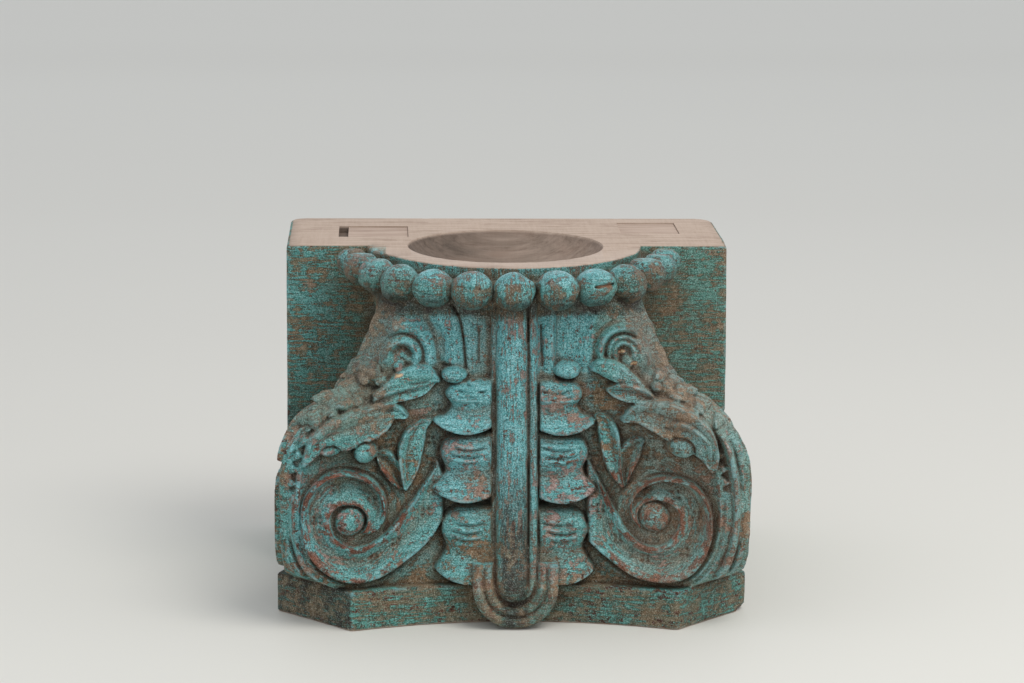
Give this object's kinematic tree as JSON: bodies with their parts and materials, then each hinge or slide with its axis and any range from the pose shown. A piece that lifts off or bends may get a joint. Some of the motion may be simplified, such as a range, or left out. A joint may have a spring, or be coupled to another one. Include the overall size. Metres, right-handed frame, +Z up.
{
  "type": "carved capital block",
  "caption": "Carved and painted wooden column capital on a plain half block, stood upside down, with a turned dish in its top face",
  "frame": {"origin": "centre of the bounding box at the underside", "axes": "+X to the right seen from the carved front, +Y towards the sawn back face, +Z up from the abacus towards the dish"},
  "size_m": [0.342, 0.3, 0.25],
  "materials": {
    "painted_wood": "old turquoise paint worn through to red-brown wood, grime in the hollows",
    "plug_wood": "bare dry wood, unpainted"
  },
  "bodies": {
    "root": {"capital_block": "painted_wood", "plug_left": "plug_wood", "plug_right": "plug_wood"}
  },
  "joints": []
}
